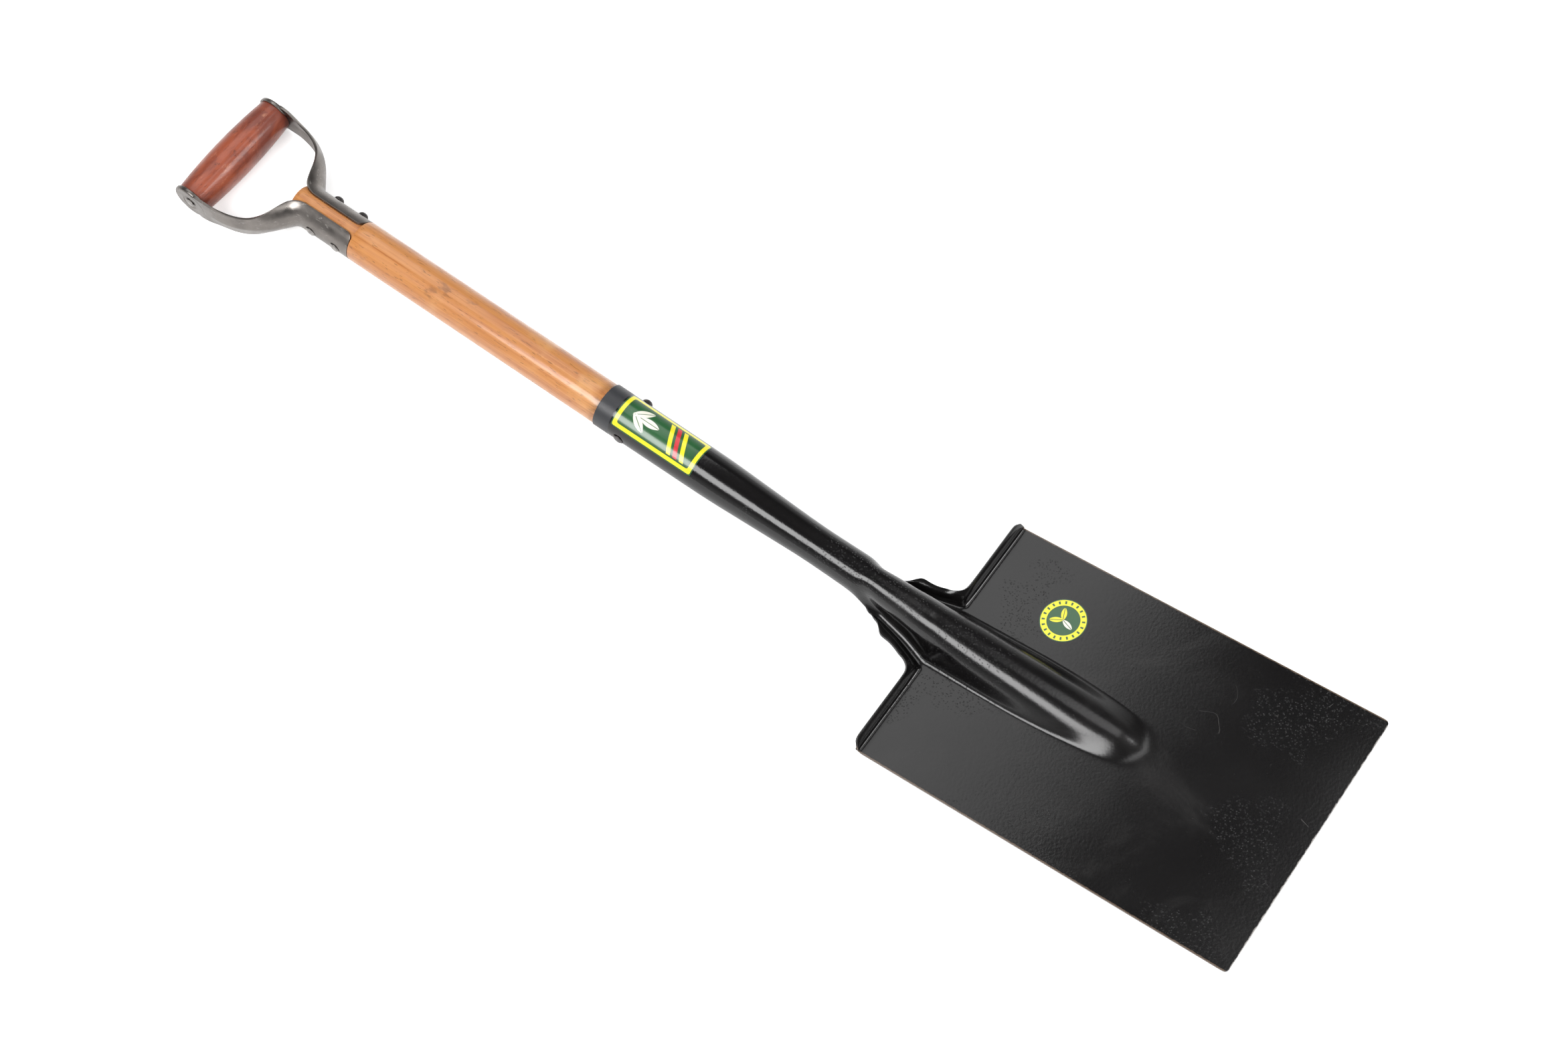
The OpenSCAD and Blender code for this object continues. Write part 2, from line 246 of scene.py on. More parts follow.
class Finish:
    """A node material that is put together step by step."""

    def __init__(self, name, **shader_values):
        self.material = bpy.data.materials.new(name)
        self.material.use_nodes = True
        self.tree = self.material.node_tree
        self.shader = self.tree.nodes["Principled BSDF"]
        for key, value in shader_values.items():
            socket = "IOR" if key == "ior" else key.replace("_", " ").title()
            self.shader.inputs[socket].default_value = value
        self.here = self.add("TexCoord").outputs["Object"]

    def add(self, kind, inputs=(), **settings):
        node = self.tree.nodes.new("ShaderNode" + kind)
        for key, value in settings.items():
            setattr(node, key, value)
        for key, value in dict(inputs).items():
            self.join(value, node.inputs[key])
        return node

    def join(self, value, socket):
        if isinstance(value, bpy.types.NodeSocket):
            self.tree.links.new(value, socket)
        elif socket.type == "RGBA" and len(value) == 3:
            socket.default_value = (*value, 1)
        else:
            socket.default_value = value

    def set(self, key, value):
        self.join(value, self.shader.inputs[key])

    def moved(self, location=(0, 0, 0), scale=(1, 1, 1), rotation=(0, 0, 0), vector=None):
        inputs = {"Vector": vector or self.here}
        inputs["Location"], inputs["Scale"], inputs["Rotation"] = location, scale, rotation
        return self.add("Mapping", inputs).outputs[0]

    def noise(self, scale, detail=3.0, rough=0.5, vector=None, distortion=0.0):
        inputs = {"Vector": vector or self.here, "Scale": scale, "Detail": detail}
        inputs["Roughness"], inputs["Distortion"] = rough, distortion
        return self.add("TexNoise", inputs).outputs[0]

    def cells(self, scale, vector=None, randomness=1.0):
        inputs = {"Vector": vector or self.here, "Scale": scale, "Randomness": randomness}
        return self.add("TexVoronoi", inputs).outputs["Distance"]

    def math(self, operation, a, b=0.0, c=0.0):
        node = self.add("Math", {0: a, 1: b, 2: c}, operation=operation)
        return node.outputs[0]

    def span(self, value, low, high, to_low=0.0, to_high=1.0):
        inputs = {0: value, 1: low, 2: high, 3: to_low, 4: to_high}
        return self.add("MapRange", inputs, interpolation_type="SMOOTHSTEP").outputs[0]

    def blend(self, share, a, b):
        node = self.add("Mix", {0: share, 6: a, 7: b}, data_type="RGBA")
        return node.outputs[2]

    def split(self, vector=None):
        return self.add("SeparateXYZ", {0: vector or self.here}).outputs

    def bump(self, height, distance, strength=1.0, normal=None):
        inputs = {"Height": height, "Distance": distance, "Strength": strength}
        if normal:
            inputs["Normal"] = normal
        return self.add("Bump", inputs).outputs[0]


def black_paint(colours, sizes):
    """Gloss black paint with orange peel, pits, dust and a bare cutting edge."""
    f = Finish("black_paint", ior=1.5)
    x, y, z = f.split()
    along = f.math(
        "ADD",
        f.math("MULTIPLY", f.math("SUBTRACT", x, MOUTH_X + sizes.socket_l), math.cos(sizes.tilt)),
        f.math("MULTIPLY", z, math.sin(sizes.tilt)),
    )
    patch = f.noise(14, 2, 0.5)
    pit_cells = f.cells(520)
    pit_zone = f.span(patch, 0.52, 0.60)
    pits = f.math("MULTIPLY", f.span(pit_cells, 0.18, 0.30, 1, 0), pit_zone)
    dust = f.math("MULTIPLY", f.span(f.noise(650, 5, 0.7), 0.66, 0.74), 0.55)
    smears = f.math("MULTIPLY", f.span(f.noise(9, 5, 0.65, distortion=1.2), 0.52, 0.75), 0.14)
    scratch_lines = f.math("ABSOLUTE", f.math("SUBTRACT", f.noise(20, 2, 0.5, distortion=0.5), 0.5))
    scratch_zone = f.span(f.noise(30, 2), 0.63, 0.68)
    far_end = f.span(along, 0.14, 0.26)
    scratches = f.math("MULTIPLY", f.span(scratch_lines, 0.0, 0.0035, 1, 0), scratch_zone)
    scratches = f.math("MULTIPLY", f.math("MULTIPLY", scratches, far_end), 0.8)
    soiled = f.math("MAXIMUM", f.math("MAXIMUM", dust, smears), scratches)
    painted = f.blend(soiled, colours.paint, colours.paint_dust)
    edge_wear = f.math("ADD", along, f.math("MULTIPLY", f.noise(240, 4, 0.7), 0.0026))
    bare = f.span(edge_wear, sizes.blade_l + 0.0007, sizes.blade_l + 0.0014)
    side = f.math("ADD", f.math("ABSOLUTE", y), f.math("MULTIPLY", f.noise(300, 3), 0.0012))
    rim = f.math("MULTIPLY", f.span(side, sizes.blade_half_w - 0.0006, sizes.blade_half_w), 0.8)
    painted = f.blend(rim, painted, (0.16, 0.115, 0.085))
    mouth = f.math("ADD", x, f.math("MULTIPLY", f.noise(60, 2), 0.002))
    mouth = f.span(mouth, MOUTH_X + 0.0142, MOUTH_X + 0.0158, 1, 0)
    painted = f.blend(f.math("MULTIPLY", mouth, 0.85), painted, (0.035, 0.036, 0.041))
    f.set("Base Color", f.blend(bare, painted, colours.bare_steel))
    f.set("Metallic", f.math("MULTIPLY", bare, 0.9))
    film = f.span(f.noise(5, 3, 0.6), 0.35, 0.7, 0.14, 0.21)
    film = f.math("ADD", film, f.math("MULTIPLY", f.math("MAXIMUM", soiled, mouth), 0.26))
    f.set("Roughness", f.math("ADD", film, f.math("MULTIPLY", bare, 0.15)))
    peel = f.bump(f.noise(480, 2, 0.5), 0.00006, 0.8)
    sheet = f.bump(f.noise(11, 1.5, 0.4), 0.0006, 0.5, peel)
    f.set("Normal", f.bump(pits, -0.00018, 0.9, sheet))
    return f.material


def wood(name, along, coat):
    """A varnished finish, with fine fibres and pores along one axis."""
    f = Finish(name, coat_weight=coat, coat_roughness=0.14, ior=1.5)
    stretch = [1.0, 1.0, 1.0]
    stretch["XYZ".index(along)] = 0.03
    f.fibres = f.noise(1100, 4, 0.65, f.moved(scale=stretch))
    f.streaks = f.noise(210, 4, 0.6, f.moved(scale=stretch))
    stretch["XYZ".index(along)] = 0.16
    f.pores = f.span(f.noise(900, 2, 0.5, f.moved(scale=stretch)), 0.62, 0.70)
    return f


def shaft_wood(colours):
    """Straight orange-brown grain with darker flecks and stains under varnish."""
    f = wood("shaft_wood", "X", 0.6)
    light, dark = colours.wood_light, colours.wood_dark
    x, y, z = f.split()
    wander = f.math("MULTIPLY", f.noise(7, 2, 0.5, f.moved(scale=(0.5, 1, 1))), 0.016)
    rings = f.math("FRACT", f.math("DIVIDE", f.math("ADD", f.math("ADD", y, wander), 1), 0.0038))
    late = f.math("POWER", rings, 1.8)
    shade = f.math("ADD", f.math("MULTIPLY", late, 0.18), f.math("MULTIPLY", f.fibres, 0.62))
    shade = f.math("ADD", shade, f.math("MULTIPLY", f.span(f.streaks, 0.38, 0.66), 0.34))
    body = f.blend(f.span(shade, 0.25, 0.98), light, dark)
    body = f.blend(f.math("MULTIPLY", f.pores, 0.55), body, [c * 0.30 for c in dark])
    pale = f.span(f.noise(22, 3, 0.6), 0.52, 0.74)
    body = f.blend(f.math("MULTIPLY", pale, 0.45), body, (0.76, 0.42, 0.17))
    stain = f.span(f.noise(48, 4, 0.7, f.moved(scale=(0.45, 1, 1))), 0.62, 0.72)
    body = f.blend(f.math("MULTIPLY", stain, 0.55), body, [c * 0.35 for c in dark])
    # Darker patches on the wood towards the socket's mouth and on into the socket.
    toe = f.span(x, MOUTH_X - 0.010, MOUTH_X + 0.001)
    darker_near_mouth = f.math("MULTIPLY", toe, f.span(f.noise(90, 3), 0.35, 0.65))
    f.set("Base Color", f.blend(f.math("MULTIPLY", darker_near_mouth, 0.6), body, (0.05, 0.03, 0.02)))
    f.set("Roughness", f.span(f.noise(60, 3), 0.3, 0.7, 0.34, 0.5))
    height = f.math("SUBTRACT", f.math("MULTIPLY", f.fibres, 0.4), f.pores)
    f.set("Normal", f.bump(height, 0.00006, 0.7, f.bump(f.noise(26, 2), 0.0006, 0.4)))
    return f.material


def grip_wood(colours):
    """Mottled red-brown wood, scuffed and marked by hands."""
    f = wood("grip_wood", "Y", 0.35)
    light, dark = colours.grip_light, colours.grip_dark
    x, y, z = f.split()
    mottle = f.noise(46, 5, 0.68, f.moved(scale=(1, 0.55, 1)), 0.6)
    shade = f.math("ADD", f.math("MULTIPLY", f.span(mottle, 0.36, 0.64), 0.62), f.math("MULTIPLY", f.streaks, 0.42))
    shade = f.math("ADD", shade, f.math("MULTIPLY", f.fibres, 0.22))
    body = f.blend(f.span(shade, 0.26, 0.98), light, dark)
    body = f.blend(f.math("MULTIPLY", f.pores, 0.45), body, [c * 0.4 for c in dark])
    marks = f.span(f.noise(115, 4, 0.7), 0.63, 0.69)
    body = f.blend(f.math("MULTIPLY", marks, 0.5), body, (0.03, 0.012, 0.009))
    scuffs = f.span(f.noise(150, 5, 0.75, f.moved(scale=(1, 0.4, 1))), 0.58, 0.70)
    body = f.blend(f.math("MULTIPLY", scuffs, 0.42), body, (0.62, 0.27, 0.15))
    ends = f.span(f.math("ABSOLUTE", y), GRIP_HALF - 0.010, GRIP_HALF - 0.003)
    f.set("Base Color", f.blend(f.math("MULTIPLY", ends, 0.6), body, dark))
    f.set("Roughness", f.span(f.noise(80, 4), 0.3, 0.7, 0.36, 0.55))
    height = f.math("SUBTRACT", f.math("MULTIPLY", f.fibres, 0.5), f.pores)
    f.set("Normal", f.bump(height, 0.00008, 0.7, f.bump(f.noise(60, 3), 0.0006, 0.5)))
    return f.material


def strap_steel(colours):
    """Grey steel sheet with rolling marks, scratches and darker stains."""
    f = Finish("strap_steel", metallic=1.0)
    stains = f.span(f.noise(70, 5, 0.65), 0.35, 0.72)
    worn = f.blend(stains, colours.strap, [c * 0.74 for c in colours.strap])
    lines = f.noise(260, 3, 0.6, f.moved(scale=(0.12, 0.25, 1.6), rotation=(0, 0, 0.5)))
    nicks = f.span(f.math("ABSOLUTE", f.math("SUBTRACT", lines, 0.5)), 0.0, 0.012, 1, 0)
    nicks = f.math("MULTIPLY", nicks, f.span(f.noise(120, 2), 0.55, 0.62))
    f.set("Base Color", f.blend(f.math("MULTIPLY", nicks, 0.6), worn, (0.5, 0.48, 0.45)))
    rough = f.span(f.noise(90, 4, 0.6), 0.3, 0.7, 0.27, 0.40)
    f.set("Roughness", rough)
    grain = f.bump(f.noise(700, 3, 0.6), 0.00003, 0.5)
    f.set("Normal", f.bump(f.noise(40, 2), 0.0003, 0.3, f.bump(nicks, -0.00008, 0.6, grain)))
    return f.material


def rivet_steel(colours):
    """Steel with hammer marks: rubbed light on the hammered tail, dark on the round head."""
    f = Finish("rivet_steel", metallic=0.85)
    x, y, z = f.split()
    tail = f.math("MULTIPLY", f.span(y, -0.002, 0.002, 1, 0), f.span(x, STRAP_X, MOUTH_X, 1, 0))
    rubbed = f.math("MULTIPLY", f.span(f.noise(500, 4, 0.7), 0.52, 0.72), 0.6)
    light = f.blend(f.span(f.noise(420, 4, 0.7), 0.4, 0.68), (0.34, 0.32, 0.30), (0.14, 0.13, 0.125))
    f.set("Base Color", f.blend(tail, f.blend(rubbed, colours.rivet, colours.strap), light))
    f.set("Roughness", f.span(f.noise(600, 3), 0.3, 0.7, 0.28, 0.5))
    dents = f.bump(f.cells(420), 0.0004, 0.5)
    f.set("Normal", f.bump(f.noise(1500, 3), 0.00006, 0.6, dents))
    return f.material


def label_print(name, draw, colours):
    """Printed film under a clear gloss, drawn on the label's own map in millimetres."""
    f = Finish(name, roughness=0.3, coat_weight=0.6, coat_roughness=0.12)
    across = f.add("UVMap", uv_map="print").outputs[0]
    u, v, unused = f.split(across)
    printed = draw(f, u, v, colours)
    rubbed = f.span(f.noise(240, 5, 0.7), 0.60, 0.72)
    f.set("Base Color", f.blend(f.math("MULTIPLY", rubbed, 0.18), printed, (0.2, 0.19, 0.16)))
    f.set("Normal", f.bump(f.noise(180, 2), 0.00006, 0.5))
    return f.material


def leaf(f, u, v, centre_u, centre_v, turn, reach, waist):
    """A leaf shape as a mask: where two discs overlap."""
    du = f.math("SUBTRACT", u, centre_u)
    dv = f.math("SUBTRACT", v, centre_v)
    c, s = math.cos(turn), math.sin(turn)
    a = f.math("ADD", f.math("MULTIPLY", du, c), f.math("MULTIPLY", dv, s))
    b = f.math("SUBTRACT", f.math("MULTIPLY", dv, c), f.math("MULTIPLY", du, s))
    r = (reach * reach + waist * waist) / (2 * waist)
    high = f.math("ADD", f.math("ABSOLUTE", b), r - waist)
    far = f.math("SQRT", f.math("ADD", f.math("MULTIPLY", a, a), f.math("MULTIPLY", high, high)))
    inside = f.span(far, r - 0.08, r + 0.08, 1, 0)
    vein = f.span(f.math("ABSOLUTE", b), 0.18, 0.34)
    return f.math("MULTIPLY", inside, vein)


def draw_socket_label(f, u, v, colours):
    """Green field in a yellow border, with one leaf and three slanting bars."""
    edge_u = f.math("SUBTRACT", 37.0, f.math("ABSOLUTE", u))
    edge_v = f.math("SUBTRACT", 17.1, f.math("ABSOLUTE", v))
    edge = f.math("SMOOTH_MIN", edge_u, edge_v, 3.0)
    border = f.math("MULTIPLY", f.span(edge, 0.9, 1.1), f.span(edge, 4.1, 4.3, 1, 0))
    field = f.blend(border, colours.label_green, colours.label_yellow)
    shade = f.span(edge, 4.4, 10)
    field = f.blend(f.math("MULTIPLY", shade, 0.3), field, (0.022, 0.15, 0.035))
    slant = f.math("ADD", u, f.math("MULTIPLY", v, 0.45))
    inner = f.span(edge, 5.4, 5.6)
    for middle, ink in ((9, colours.label_yellow), (15, colours.label_red), (21, colours.label_yellow)):
        gap = f.math("ABSOLUTE", f.math("SUBTRACT", slant, middle))
        bar = f.math("MULTIPLY", f.span(gap, 1.7, 1.9, 1, 0), inner)
        field = f.blend(bar, field, ink)
    for turn, place in ((0.62, (-18.5, 4)), (-0.62, (-18.5, -4)), (0, (-10.5, 0))):
        blade_leaf = leaf(f, u, v, *place, turn, 9, 3.1)
        field = f.blend(blade_leaf, field, (0.86, 0.84, 0.72))
    return field


def draw_blade_label(f, u, v, colours):
    """Yellow ring around a green field with a two-leaf sprout."""
    r = f.math("SQRT", f.math("ADD", f.math("MULTIPLY", u, u), f.math("MULTIPLY", v, v)))
    field = f.blend(f.span(r, 12.2, 12.4), colours.label_green, colours.label_yellow)
    turn = f.math("MULTIPLY", f.math("ARCTAN2", v, u), 20 / math.tau)
    tick = f.math("ABSOLUTE", f.math("SUBTRACT", f.math("FRACT", turn), 0.5))
    mid_ring = f.span(f.math("ABSOLUTE", f.math("SUBTRACT", r, 14.7)), 1.1, 1.3, 1, 0)
    ticks = f.math("MULTIPLY", f.span(tick, 0.13, 0.17, 1, 0), mid_ring)
    field = f.blend(ticks, field, colours.label_green)
    for turn, place, ink in (
        (0.75, (3.6, 3.9), colours.label_yellow),
        (2.4, (-3.6, 3.9), colours.label_yellow),
        (math.pi / 2, (0, -4.6), (0.86, 0.84, 0.72)),
    ):
        field = f.blend(leaf(f, u, v, *place, turn, 5.4, 2.1), field, ink)
    rim = f.span(r, 16.7, 16.9)
    return f.blend(rim, field, colours.label_green)


# ---------------------------------------------------------------- the pressed head

# Rows up the socket from the fold, rows down the blade, and columns across its flat part.
NECK_ROWS = [0, -3, -7, -11.5, -16.5, -22, -27, -31, -34, -37, -40, -43, -46, -50, -55, -60, -66, -72, -77]
NECK_ROWS += [-84, -95, -108, -122, -140, -160, -182, -202, -225, -250, -275, -296, -304, -307]
BLADE_ROWS = [0, 4.8, 9.2, 15, 24, 36, 50, 64, 78, 92, 106, 118, 128, 136, 143, 149, 154, 158.5]
BLADE_ROWS += [163, 167.5, 172, 178, 186, 198, 214, 234, 256, 276, 290, 296, 299.5, 301.3, 302]
FLAT_COLUMNS = [29, 31.5, 35, 39.5, 46, 56, 68, 82, 93, 99, 102.2, 104.7, 106.3, 107]
EDGE_SHARES = [0, 0.4, 0.64, 0.84, 1]
HUMP_COLUMNS = 12

# The frog's half section along the blade, with the fold at 0: half width, crown radius, fillet radius.
HUMP_HALF = [(-46, 15.8), (-20, 20.8), (0, 27), (75, 27.2), (105, 26.2), (130, 24.4), (150, 22.5), (302, 20)]
CROWN_R = [(-46, 14.2), (0, 16), (40, 22), (75, 25), (105, 25), (150, 22)]
FILLET_R = [(-46, 5), (0, 7), (40, 6), (165, 6)]
TUBE_R = [(-307, 18), (-202, 17.6), (-116, 14.3), (-62, 15), (0, 15)]
WING_Y = [(-56, 17.3), (-50, 17.7), (-45.5, 18.6), (-42, 21.6), (-39, 25.2), (-36.5, 27.3), (-31, 27.4)]
WING_Y += [(-24, 28), (-18, 31.0)]
WING_UP = [(-56, 0.2), (-50, 0.6), (-45, 2.2), (-40, 4.8), (-36, 5.8)]


class HeadForm:
    """The face of the pressed sheet, half of it, from its rows and columns. Millimetres inside."""

    def __init__(self, sizes):
        self.s = sizes
        self.t = sizes.sheet_t * 1000
        self.frog_l = sizes.frog_l * 1000
        self.frog_h = sizes.frog_h * 1000
        self.axis_z = AXIS_Z * 1000
        self.tread_out = sizes.tread_w * 1000 * math.sin(sizes.tread_lean)
        self.tread_up = sizes.tread_w * 1000 * math.cos(sizes.tread_lean)
        self.inner_r = sizes.inner_r * 1000
        self.corner_x = -self.inner_r - self.tread_out
        self.corner_y = at(WING_Y, self.corner_x)
        self.half_w = sizes.blade_half_w * 1000

    def height(self, u):
        """Height of the frog's crown over the blade's face."""
        if u < 0:
            return self.frog_h
        line = self.frog_h * (1 - u / (self.frog_l + 24))
        return line * (1 - smooth((u - self.frog_l + 18) / 26))

    def hump(self, x, height, column, level):
        """A point (across, up) of the half section. Level 1 spreads the columns evenly."""
        half = at(HUMP_HALF, x)
        crown, fillet = at(CROWN_R, x), at(FILLET_R, x)
        height = max(height, 1e-3)
        most = 0.94 * (half * half + height * height) / (2 * height)
        scale = min(1, most / (crown + fillet))
        crown, fillet = crown * scale, fillet * scale
        both = crown + fillet
        flank = math.sqrt(half * half + height * height - 2 * both * height)
        turn = math.atan2(half, both - height) - math.atan2(flank, both)
        top = (crown * math.sin(turn), height - crown * (1 - math.cos(turn)))
        foot = (half - fillet * math.sin(turn), fillet * (1 - math.cos(turn)))
        t = column / HUMP_COLUMNS
        if t < 0.42:
            a = turn * t / 0.42
            point = (crown * math.sin(a), height - crown * (1 - math.cos(a)))
        elif t < 0.62:
            share = (t - 0.42) / 0.20
            point = (lerp(top[0], foot[0], share), lerp(top[1], foot[1], share))
        else:
            a = turn * (1 - t) / 0.38
            point = (half - fillet * math.sin(a), fillet * (1 - math.cos(a)))
        if level == 0:
            return point
        y = lerp(point[0], half * t, level)
        if y < top[0]:
            z = height - crown + math.sqrt(crown * crown - y * y)
        elif y > foot[0]:
            z = fillet - math.sqrt(fillet * fillet - (half - y) ** 2)
        else:
            z = lerp(top[1], foot[1], (y - top[0]) / (foot[0] - top[0]))
        return y, z

    def on_blade(self, u, y, w):
        tilt = self.s.tilt
        x = u * math.cos(tilt) - w * math.sin(tilt)
        return Vector((x, y, u * math.sin(tilt) + w * math.cos(tilt)))

    def blade(self, row, column):
        u = BLADE_ROWS[row]
        if column > HUMP_COLUMNS:
            y, w = FLAT_COLUMNS[column - HUMP_COLUMNS - 1], 0
        else:
            height = self.height(u)
            y, w = self.hump(u, height, column, smooth((u - 40) / 90))
            nose_r = 21
            back = nose_r - math.sqrt(max(0, nose_r**2 - min(y, nose_r - 1) ** 2))
            shift = 0.8 * back * smooth((u - 132) / 24)
            w *= self.height(u + shift) / max(height, 1e-3) if height > 1e-3 else 0
        corner_r = self.s.corner_r * 1000
        past = u - (self.s.blade_l * 1000 - corner_r)
        if past > 0 and y > 60:
            inset = corner_r - math.sqrt(max(0, corner_r**2 - past**2))
            y -= inset * smooth((y - 60) / 47)
        return self.on_blade(u, y, self.t + w)

    def lean(self, x):
        return self.s.tilt * smooth(1 + x / 42)

    def base_z(self, x):
        rise = self.s.neck_rise * 1000 * min(1.25, -x / (self.s.neck_l * 1000))
        return self.t * math.cos(self.lean(x)) + rise

    def fold_y(self, x):
        share = max(0, 1 + x / (self.s.neck_l * 1000))
        return 16.8 + 12.2 * share**1.5

    def neck(self, x, column):
        lean = self.lean(x)
        crown_z = lerp(self.frog_h * math.cos(self.s.tilt) + self.t, 33.2, smooth(-x / 60))
        height = (crown_z - self.base_z(x)) / math.cos(lean)
        if x == 0:
            height = self.frog_h
        if column > HUMP_COLUMNS:
            y, up = self.fold_y(x), 0
        else:
            y, up = self.hump(x, height, column, 0)
        return Vector((x - (self.t + up) * math.sin(lean), y, self.base_z(x) + up * math.cos(lean)))

    def tube(self, x, turn):
        r = at(TUBE_R, x)
        return Vector((x, r * math.sin(turn), self.axis_z + r * math.cos(turn)))

    def socket(self, row, column):
        x = NECK_ROWS[row]
        open_share = smooth((x + 74) / 28)
        turn = math.radians(104) * column / (HUMP_COLUMNS + 1)
        return self.tube(x, turn).lerp(self.neck(x, column), open_share)

    def edge(self, station):
        """The sheet's edge at a station: up the seam, along the wing, round to the tread's end."""
        socket_rows = len(NECK_ROWS) - 1
        if station <= socket_rows:
            x = NECK_ROWS[socket_rows - station]
            if x <= WING_Y[0][0]:
                seam = math.asin(self.s.seam_gap * 500 / at(TUBE_R, x))
                hem = self.socket(socket_rows - station, HUMP_COLUMNS + 1) + Vector((0, 0.6, -1))
                return self.tube(x, math.pi - seam).lerp(hem, smooth((x + 80) / 24))
            if x <= self.corner_x:
                return Vector((x, at(WING_Y, x), self.base_z(x) + at(WING_UP, x)))
            a = math.radians(45) * (1 - x / self.corner_x)
        else:
            y = FLAT_COLUMNS[station - socket_rows]
            reach = self.corner_y + self.inner_r
            if y >= reach:
                end_r = self.s.tread_end_r * 1000
                past = min(end_r, max(0, y - (self.half_w - end_r)))
                left = 1 - 0.72 * (end_r - math.sqrt(end_r**2 - past**2)) / end_r
                return Vector((-self.tread_out * left, y, self.t + self.tread_up * left))
            a = math.radians(45) * (1 + (y - FLAT_COLUMNS[0]) / (reach - FLAT_COLUMNS[0]))
        x = self.corner_x + self.inner_r * math.sin(a)
        y = self.corner_y + self.inner_r * (1 - math.cos(a))
        low = self.base_z(self.corner_x) + at(WING_UP, self.corner_x)
        return Vector((x, y, lerp(low, self.t + self.tread_up, a / math.radians(90))))

    def rolled(self, inner, edge, share, swell):
        """A point from the fold to the edge, on a line that rolls outwards near the edge."""
        along = (edge - inner).normalized()
        face = Vector((0, 0, 1)) - along * along.z
        return inner.lerp(edge, share) + face.normalized() * swell * 4 * share * (1 - share)

    def flange(self, station, column):
        socket_rows = len(NECK_ROWS) - 1
        share = EDGE_SHARES[column]
        if station > socket_rows:
            inner = self.blade(0, HUMP_COLUMNS + 1 + station - socket_rows)
            return self.rolled(inner, self.edge(station), share, 1.5)
        row = socket_rows - station
        x = NECK_ROWS[row]
        inner = self.socket(row, HUMP_COLUMNS + 1)
        straight = self.rolled(inner, self.edge(station), share, 1.1 * smooth((x + 50) / 12))
        seam = math.asin(self.s.seam_gap * 500 / at(TUBE_R, x))
        round_turn = lerp(math.radians(104), math.pi - seam, share)
        return self.tube(x, round_turn).lerp(straight, smooth((x + 80) / 24))


def head_mesh(sizes):
    form = HeadForm(sizes)
    bm = bmesh.new()
    columns = HUMP_COLUMNS + len(FLAT_COLUMNS)
    make_grid(bm, len(BLADE_ROWS) - 1, columns, form.blade)
    make_grid(bm, len(NECK_ROWS) - 1, HUMP_COLUMNS + 1, form.socket)
    stations = len(NECK_ROWS) + len(FLAT_COLUMNS) - 2
    make_grid(bm, stations, len(EDGE_SHARES) - 1, form.flange)
    bmesh.ops.remove_doubles(bm, verts=bm.verts, dist=1e-3)
    bmesh.ops.scale(bm, vec=(0.001,) * 3, verts=bm.verts)
    bmesh.ops.mirror(bm, geom=bm.verts[:] + bm.edges[:] + bm.faces[:], axis="Y", merge_dist=1e-6)
    bmesh.ops.translate(bm, vec=(MOUTH_X + sizes.socket_l, 0, 0), verts=bm.verts)
    bmesh.ops.recalc_face_normals(bm, faces=bm.faces)
    top = max(bm.faces, key=lambda face: face.calc_center_median().x)
    if top.normal.z < 0:
        bmesh.ops.reverse_faces(bm, faces=bm.faces)
    return bm


# ---------------------------------------------------------------- the handle


class StrapForm:
    """The middle surface of the strap on the +Y side."""

    def __init__(self, sizes, shaft_r):
        self.s = sizes
        self.mid_r = shaft_r - sizes.strap_t / 2
        self.leave_x = STRAP_X - sizes.saddle_l
        self.end_y = STRAP_OUT_Y - sizes.strap_t / 2
        self.path = []
        for d in (0, 0.0006, 0.0018, 0.0035, 0.0055, 0.009, 0.016, 0.024, 0.032, 0.040):
            self.path.append((STRAP_X - d, self.mid_r, 0.0))
        r1, r2, bend = sizes.first_bend_r, sizes.second_bend_r, sizes.bend
        for i in range(7):
            a = bend * i / 6
            x = self.leave_x - r1 * math.sin(a)
            self.path.append((x, self.mid_r + r1 * (1 - math.cos(a)), a))
        climb = self.end_y - self.mid_r - (r1 + r2) * (1 - math.cos(bend))
        x0, y0 = self.path[-1][:2]
        for share in (0.34, 0.67, 1):
            x = x0 - climb * share / math.tan(bend)
            self.path.append((x, y0 + climb * share, bend))
        x1, y1 = self.path[-1][:2]
        for i in range(1, 13):
            a = bend * (1 - i / 12)
            x = x1 - r2 * (math.sin(bend) - math.sin(a))
            self.path.append((x, y1 + r2 * (math.cos(a) - math.cos(bend)), a))
        last = self.path[-1]
        for share in (0.5, 0.8, 1):
            self.path.append((lerp(last[0], GRIP_X + 0.006, share), last[1], 0.0))
        self.travel = [0.0]
        for (xa, ya, unused), (xb, yb, unused_b) in zip(self.path, self.path[1:]):
            self.travel.append(self.travel[-1] + math.hypot(xb - xa, yb - ya))

    def point(self, row, column, columns):
        x, y, a = self.path[row]
        v = column / columns * 2 - 1
        from_end = self.travel[row]
        wrap = math.acos(self.s.saddle_gap / 2 / (self.mid_r + self.s.strap_t / 2))
        corner = 0.006
        if from_end < corner:
            cut = corner - math.sqrt(max(0, corner**2 - (corner - from_end) ** 2))
            wrap -= cut / self.mid_r
        opened = smooth((from_end - self.s.saddle_l + 0.002) / 0.047)
        round_in = -self.mid_r * (1 - math.cos(wrap * v))
        round_z = self.mid_r * math.sin(wrap * v)
        near_cup = smooth((GRIP_X + 0.034 - x) / 0.022)
        half_w = self.s.strap_w / 2 * (1 + 0.35 * near_cup * near_cup)
        ridge = self.s.ridge * (1 - near_cup)
        flat_in = -ridge * abs(v) - 0.0002 * near_cup
        inward = lerp(round_in, flat_in, opened)
        z = lerp(round_z, half_w * v, opened)
        return Vector((x + inward * math.sin(a), y + inward * math.cos(a), AXIS_Z + z))


